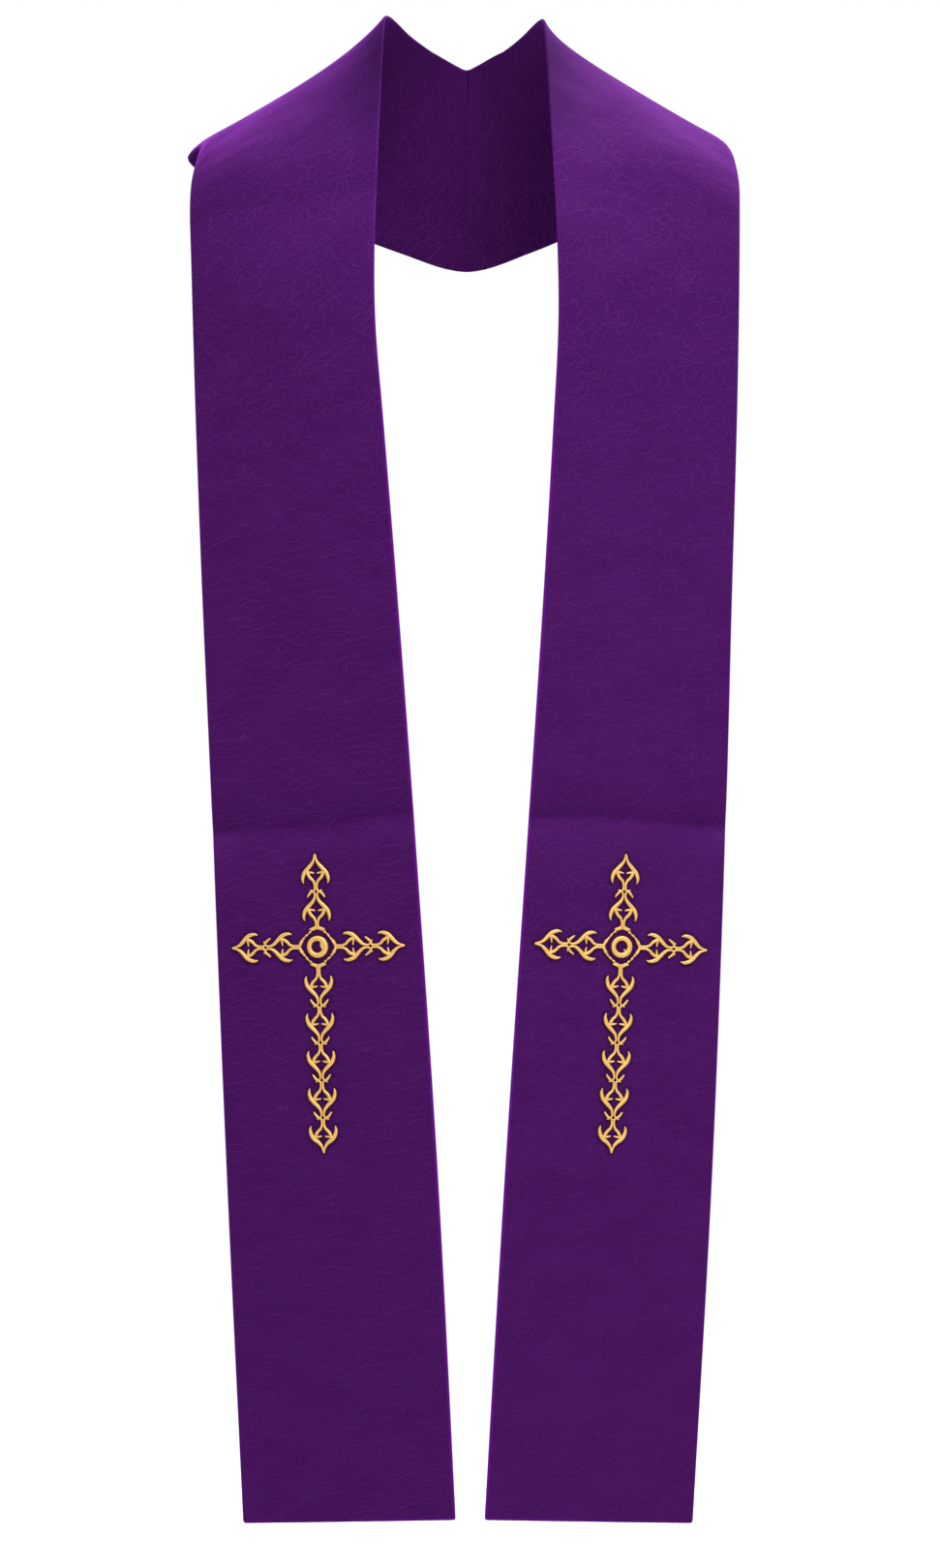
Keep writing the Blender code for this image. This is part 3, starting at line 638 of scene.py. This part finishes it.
def violetMaterial(half):
    material, tree, shader = newMaterial("violetCloth_" + half)
    place = addNode(tree, "ShaderNodeUVMap", {"uv_map": "cloth"}).outputs[0]
    # the second map holds the painted highlight along the edges and the painted shade and light on the cloth
    paintedLightAndShade = addNode(tree, "ShaderNodeUVMap", {"uv_map": "paintedLightAndShade"}).outputs[0]
    fromEdge, shaded, _ = addNode(tree, "ShaderNodeSeparateXYZ", None, Vector=paintedLightAndShade).outputs
    up = addNode(tree, "ShaderNodeSeparateXYZ", None, Vector=place).outputs[1]
    onNet = remap(tree, up, violet["netFrom"], violet["netTo"], violet["netBelow"][half], 1.0)
    offNet = remap(tree, up, violet["netFrom"], violet["netTo"], violet["levelBelow"][half], violet["levelAbove"])
    fromRidge = mathNode(tree, "ABSOLUTE", mathNode(tree, "SUBTRACT", up, violet["ridgeAt"]))
    fade = product(tree, remap(tree, fromRidge, *violet["ridgeFade"]), remap(tree, up, *violet["lowFade"]))
    onNet, offNet = product(tree, onNet, fade), product(tree, offNet, fade)
    crest = dip = None
    for family in crinkles:
        sides = crinkleFamily(tree, place, family, violet["shift"][half])
        high, low = [product(tree, side, onNet if family["net"] else offNet) for side in sides]
        crest = high if crest is None else mathNode(tree, "MAXIMUM", crest, high)
        dip = low if dip is None else mathNode(tree, "MAXIMUM", dip, low)
    crepe, waves = violet["crepe"], violet["waves"]
    crepeNoise = noise(tree, turned(tree, place, crepe["slope"], crepe["stretch"]),
                       crepe["scale"], crepe["detail"], crepe["rough"])
    waveNoise = noise(tree, turned(tree, place, waves["slope"], waves["stretch"], (violet["shift"][half], 2, 0)),
                      waves["scale"], waves["detail"])
    height = product(tree, mathNode(tree, "SUBTRACT", crest, dip), violet["crinkleHeight"])
    height = mathNode(tree, "ADD", height, product(tree, crepeNoise, crepe["height"]))
    height = mathNode(tree, "ADD", height, product(tree, waveNoise, waves["height"]))
    bump = addNode(tree, "ShaderNodeBump", None, Strength=1.0, Distance=mm, Height=height)
    tree.links.new(bump.outputs[0], shader.inputs["Normal"])
    colour = mixColour(tree, remap(tree, crepeNoise, *violet["crepeDark"]), violet["base"], violet["dark"])
    colour = mixColour(tree, remap(tree, waveNoise, *violet["waveLight"]), colour, violet["light"])
    # painted shade in each crinkle's dip and painted highlight on its crest, over the bump
    colour = mixColour(tree, product(tree, dip, violet["dipShade"]), colour, violet["dark"])
    colour = mixColour(tree, product(tree, crest, violet["crestHighlight"]), colour, violet["light"])
    # painted highlight along the turned edges
    line = product(tree, remap(tree, fromEdge, *violet["edgeHighlight"]), remap(tree, up, *violet["edgeHighlightUp"]))
    colour = mixColour(tree, line, colour, violet["edge"])
    # painted shade beside the strokes, along the neck and on the packing fold's line, then the painted highlight
    # below that fold
    colour = mixColour(tree, shaded, colour, violet["shade"])
    colour = mixColour(tree, product(tree, shaded, -1.0), colour, violet["light"])      # below 0 it is a painted highlight
    tree.links.new(colour, shader.inputs["Base Color"])
    shader.inputs["Roughness"].default_value = violet["roughness"]
    shader.inputs["Specular IOR Level"].default_value = violet["specular"]
    shader.inputs["Sheen Weight"].default_value = violet["sheen"]
    shader.inputs["Sheen Roughness"].default_value = violet["sheenRoughness"]
    shader.inputs["Sheen Tint"].default_value = violet["sheenColour"]
    return material


def clothShade(half, grid, away, fromSide):
    # how much painted shade darkens the cloth at each point, and below 0 how much painted light brightens it
    places, share = grid["places"][:, None], grid["share"]
    shaded = cross["shade"] * np.clip(1 - away / cross["shadeReach"], 0, 1) ** cross["shadeCurve"]
    narrow = np.clip((places - neckShade["from"]) / neckShade["over"], 0, 1) * (share < 0.5)
    narrow = narrow * np.where(fromSide < neckShade["line"], neckShade["lineStrength"],
                               neckShade["strength"] * np.exp(-fromSide / neckShade["reach"]))
    strength, reach = neckShade["broad"][half]
    broad = np.clip((places - neckShade["broadFrom"]) / neckShade["broadOver"], 0, 1) * (share < 0.5)
    broad = broad * strength * np.exp(-(fromSide / reach) ** 2)
    shaded = np.maximum(shaded, np.clip(narrow + broad, 0.0, neckShade["most"]))
    above = aboveCrease(creases[0], half, grid["places"], share)
    lit = np.interp(share, packingFold["shares"], packingFold[half])
    lit = lit * np.exp(-(above / packingFold["litReach"]) ** 2)
    lit = lit * (1 - np.exp(-(above / packingFold["softReach"]) ** 2))
    dark = packingFold["dark"] * np.exp(-np.abs(above) / packingFold["darkReach"])
    return shaded + dark - np.where(above < 0, lit, 0.0)


def bandShell(half, grid, away, material):
    # one half as a thin closed shell, with rolled edges and rounded corners at the hem
    normals = grid["normals"]
    pucker = cross["puckerDepth"] * np.exp(-(away / cross["puckerReach"]) ** 2) * (away > 0)
    points = grid["points"] - normals * pucker[..., None]
    rows, columns = points.shape[:2]
    fromSide = np.minimum(grid["share"], 1 - grid["share"]) * grid["width"][:, None]
    fromHem = np.repeat(grid["along"][:, None], columns, axis=1)
    fromEdge = np.minimum(fromSide, fromHem)
    inRoll = 1 - np.minimum(fromEdge / cloth["rollReach"], 1)
    thick = np.sqrt(np.clip(1 - inRoll ** 2, 0, 1)) * cloth["wall"] / 2
    middle = points - normals * cloth["wall"] / 2
    # hem corners
    radius = cloth["cornerRadius"]
    down = np.clip(radius - fromHem, 0, radius)
    inset = radius - np.sqrt(radius ** 2 - down ** 2)
    toMiddle = (points[:, columns // 2] - points[:, 0])[:, None]
    toMiddle = toMiddle / np.linalg.norm(toMiddle, axis=2, keepdims=True)
    pull = np.clip(1 - fromSide / cloth["cornerPull"], 0, 1) * inset
    middle = middle + toMiddle * (pull * np.where(grid["share"] < 0.5, 1, -1))[..., None]
    top = (middle + normals * thick[..., None]).reshape(-1, 3)
    bottom = (middle - normals * thick[..., None]).reshape(-1, 3)
    number = np.arange(rows * columns).reshape(rows, columns)
    onRim = np.zeros((rows, columns), bool)
    onRim[0] = onRim[:, 0] = onRim[:, -1] = True
    lower = np.where(onRim, number, number + rows * columns)
    quads = np.stack([number[:-1, :-1], number[:-1, 1:], number[1:, 1:], number[1:, :-1]], axis=-1).reshape(-1, 4)
    below = np.stack([lower[:-1, :-1], lower[1:, :-1], lower[1:, 1:], lower[:-1, 1:]], axis=-1).reshape(-1, 4)
    end = np.stack([number[-1, :-1], number[-1, 1:], lower[-1, 1:], lower[-1, :-1]], axis=-1)[1:-1]
    faces = np.concatenate([quads, below])
    faces = [tuple(face) for face in faces] + [tuple(face) for face in end]
    faces += [(number[-1, 0], number[-1, 1], lower[-1, 1]), (number[-1, -2], number[-1, -1], lower[-1, -2])]
    if halves[half] < 0:
        faces = [tuple(reversed(face)) for face in faces]
    across = (grid["share"] - 0.5) * grid["width"][:, None] * halves[half]
    uv = np.stack([across, fromHem], axis=-1).reshape(-1, 2) / cloth["patternSize"]
    fromEdgeHighlight = fromEdge * np.where(grid["share"] < 0.5, cloth["innerLine"], cloth["outerLine"])
    shaded = clothShade(half, grid, away, fromSide)
    # the painted highlight along the edges, and the painted shade and light, go to the second map
    paintedLightAndShade = np.stack([fromEdgeHighlight, shaded], axis=-1).reshape(-1, 2)
    underPaintedLightAndShade = np.stack([fromEdgeHighlight, np.full_like(shaded, cloth["underShade"])], axis=-1).reshape(-1, 2)
    uv, paintedLightAndShade = np.concatenate([uv, uv]), np.concatenate([paintedLightAndShade, underPaintedLightAndShade])
    # the two sides share the points of the rim, so the unused ones of the underside are dropped
    everything = np.concatenate([top, bottom])
    used = np.unique(np.concatenate([np.array(face) for face in faces]))
    renumber = np.full(len(everything), -1)
    renumber[used] = np.arange(len(used))
    faces = [tuple(renumber[list(face)]) for face in faces]
    shell = makeObject("stole_half_" + half, everything[used] * mm, faces, material)
    addUv(shell.data, "cloth", uv[used])
    addUv(shell.data, "paintedLightAndShade", paintedLightAndShade[used])
    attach(shell, "root")
    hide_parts("band_" + half)
    return shell


def onCloth(grid, across, along, height):
    # places on the outer face, outwards from the middle line and above the hem, moved out by a height
    row = np.clip(np.searchsorted(grid["along"], along) - 1, 0, len(grid["along"]) - 2)
    rowShare = (along - grid["along"][row]) / np.diff(grid["along"])[row]
    width = grid["width"][row] * (1 - rowShare) + grid["width"][row + 1] * rowShare
    share = 0.5 + across / width
    column = np.array([np.searchsorted(grid["share"][r], s) - 1 for r, s in zip(row, share)])
    before, after = grid["share"][row, column], grid["share"][row, column + 1]
    part = ((share - before) / (after - before))[:, None]

    def between(name):
        low = grid[name][row, column] * (1 - part) + grid[name][row, column + 1] * part
        high = grid[name][row + 1, column] * (1 - part) + grid[name][row + 1, column + 1] * part
        return low * (1 - rowShare)[:, None] + high * rowShare[:, None]

    return between("points") + between("normals") * height[:, None]


def stitchedPiece(name, half, laid, material):
    # each stroke is a domed bar of stitches, swept along its line and sunk a little into the cloth
    cells = cross["acrossCells"]
    places, heights, uvs, faces, count = [], [], [], [], 0
    for order, (kind, line) in enumerate(laid):
        ahead = np.gradient(line[:, :2], axis=0)
        ahead /= np.linalg.norm(ahead, axis=1, keepdims=True)
        aside = np.stack([-ahead[:, 1], ahead[:, 0]], axis=1)
        length = np.concatenate([[0.0], np.cumsum(np.linalg.norm(np.diff(line[:, :2], axis=0), axis=1))])
        relief = cross["relief"] * strokeRelief[kind] * np.sqrt(np.clip(line[:, 2] / cross["fullWidth"], 0.0, 1.0))
        for step in range(cells + 1):
            k = -math.cos(math.pi * step / cells)
            places.append(line[:, :2] + aside * (k * line[:, 2] / 2)[:, None])
            heights.append(relief * math.sqrt(1 - k * k) if 0 < step < cells else np.full(len(line), -cross["sink"]))
            uvs.append(np.stack([length / 10 + order * gold["startApart"], np.full(len(line), k)], axis=1))
        points = len(line)
        grid = count + np.arange(points * (cells + 1)).reshape(cells + 1, points)
        domed = np.stack([grid[:-1, :-1], grid[:-1, 1:], grid[1:, 1:], grid[1:, :-1]], axis=-1)
        faces.append(domed.reshape(-1, 4))
        faces.append(np.stack([grid[0, :-1], grid[-1, :-1], grid[-1, 1:], grid[0, 1:]], axis=-1))
        count += points * (cells + 1)
    flat = np.concatenate(places)
    placed = onCloth(grids[half], flat[:, 0], flat[:, 1], np.concatenate(heights))
    faces = np.concatenate(faces)
    made = makeObject(name, placed * mm, faces if halves[half] < 0 else faces[:, ::-1], material)
    addUv(made.data, "thread", np.concatenate(uvs))
    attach(made, "root")
    return made


gold = {
    "base": (0.82, 0.46, 0.080, 1),
    "highlight": (0.94, 0.72, 0.26, 1),          # painted highlight where the thread turns to the light
    # deep is a darker tone of the thread, and also the painted shade along a stroke's middle line
    "deep": (0.66, 0.29, 0.035, 1),
    "side": (0.40, 0.15, 0.030, 1),         # painted shade down the sides, into the cloth
    "threadPitch": 0.030, "threadTurn": 0.03, "threadWaver": 0.5,      # cm, radians
    "threadDark": (0.0, 0.5, 0.10, 0.0), "threadBump": 0.25, "threadHeight": 0.00008,
    "startApart": 0.73,                     # cm between the patterns of two strokes
    "toneScale": 5.0, "toneStretch": 3.0, "toneDeep": (0.35, 0.65, 0, 0.6),
    # across a stroke, from 0 in the middle to 1 at its sides: a painted highlight on the two rows of stitches,
    # painted shade on the line between them and down the sides
    "rowAt": 0.42, "rowHighlight": (0.05, 0.36, 1.0, 0.0), "upwardHighlight": (-0.3, 0.5, 0.35, 1.0),
    "middleShade": (0.04, 0.26, 0.55, 0.0), "sideShade": (0.70, 0.97, 0.0, 0.9),
    "roughness": 0.36, "metallic": 0.3, "specular": 0.6,
}
waveShare = 0.314          # the wave texture's scale times its pitch


def goldMaterial():
    material, tree, shader = newMaterial("goldThread")
    uv = addNode(tree, "ShaderNodeUVMap", {"uv_map": "thread"}).outputs[0]
    side = addNode(tree, "ShaderNodeSeparateXYZ", None, Vector=uv).outputs[1]
    slant = addNode(tree, "ShaderNodeMapping", None, Vector=uv)
    slant.inputs["Rotation"].default_value = (0, 0, gold["threadTurn"])
    threads = addNode(tree, "ShaderNodeTexWave", {"wave_type": "BANDS", "bands_direction": "X"},
                      Vector=slant.outputs[0], Scale=waveShare / gold["threadPitch"],
                      Distortion=gold["threadWaver"], Detail=1.0).outputs[1]
    tone = noise(tree, turned(tree, uv, 0, gold["toneStretch"]), gold["toneScale"])
    colour = mixColour(tree, remap(tree, tone, *gold["toneDeep"]), gold["base"], gold["deep"])
    fromMiddle = mathNode(tree, "ABSOLUTE", side)
    fromRow = mathNode(tree, "ABSOLUTE", mathNode(tree, "SUBTRACT", fromMiddle, gold["rowAt"]))
    normal = addNode(tree, "ShaderNodeNewGeometry").outputs["Normal"]
    upward = addNode(tree, "ShaderNodeSeparateXYZ", None, Vector=normal).outputs[2]
    # painted highlight on the two rows of stitches where the stroke faces up
    lit = product(tree, remap(tree, fromRow, *gold["rowHighlight"]), remap(tree, upward, *gold["upwardHighlight"]))
    colour = mixColour(tree, lit, colour, gold["highlight"])
    # painted shade along the middle line
    colour = mixColour(tree, remap(tree, fromMiddle, *gold["middleShade"]), colour, gold["deep"])
    colour = mixColour(tree, remap(tree, threads, *gold["threadDark"]), colour, gold["deep"])
    # painted shade down the sides
    colour = mixColour(tree, remap(tree, fromMiddle, *gold["sideShade"]), colour, gold["side"])
    tree.links.new(colour, shader.inputs["Base Color"])
    bump = addNode(tree, "ShaderNodeBump", None, Strength=gold["threadBump"], Distance=gold["threadHeight"],
                   Height=threads)
    tree.links.new(bump.outputs[0], shader.inputs["Normal"])
    shader.inputs["Roughness"].default_value = gold["roughness"]
    shader.inputs["Metallic"].default_value = gold["metallic"]
    shader.inputs["Specular IOR Level"].default_value = gold["specular"]
    return material


grids = {}
goldThread = goldMaterial()
for half in halves:
    grids[half] = halfGrid(half)
    strokes = frameStrokes() + [stroke for arm in arms for stroke in armStrokes(arm)]
    crossLaid = laidOnHalf(half, strokes)
    ringLaid = laidOnHalf(half, ringStrokes(half))
    away = nearThread(grids[half], crossLaid + ringLaid)
    shell = bandShell(half, grids[half], away, violetMaterial(half))
    print("cloth of the", half, "half:", len(shell.data.polygons), "faces")
    made = stitchedPiece("gold_cross_" + half, half, crossLaid, goldThread)
    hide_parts("cross_" + half)
    ring = stitchedPiece("gold_ring_" + half, half, ringLaid, goldThread)
    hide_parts("ring_" + half)
    print("cross on the", half, "half:", len(made.data.polygons), "faces")
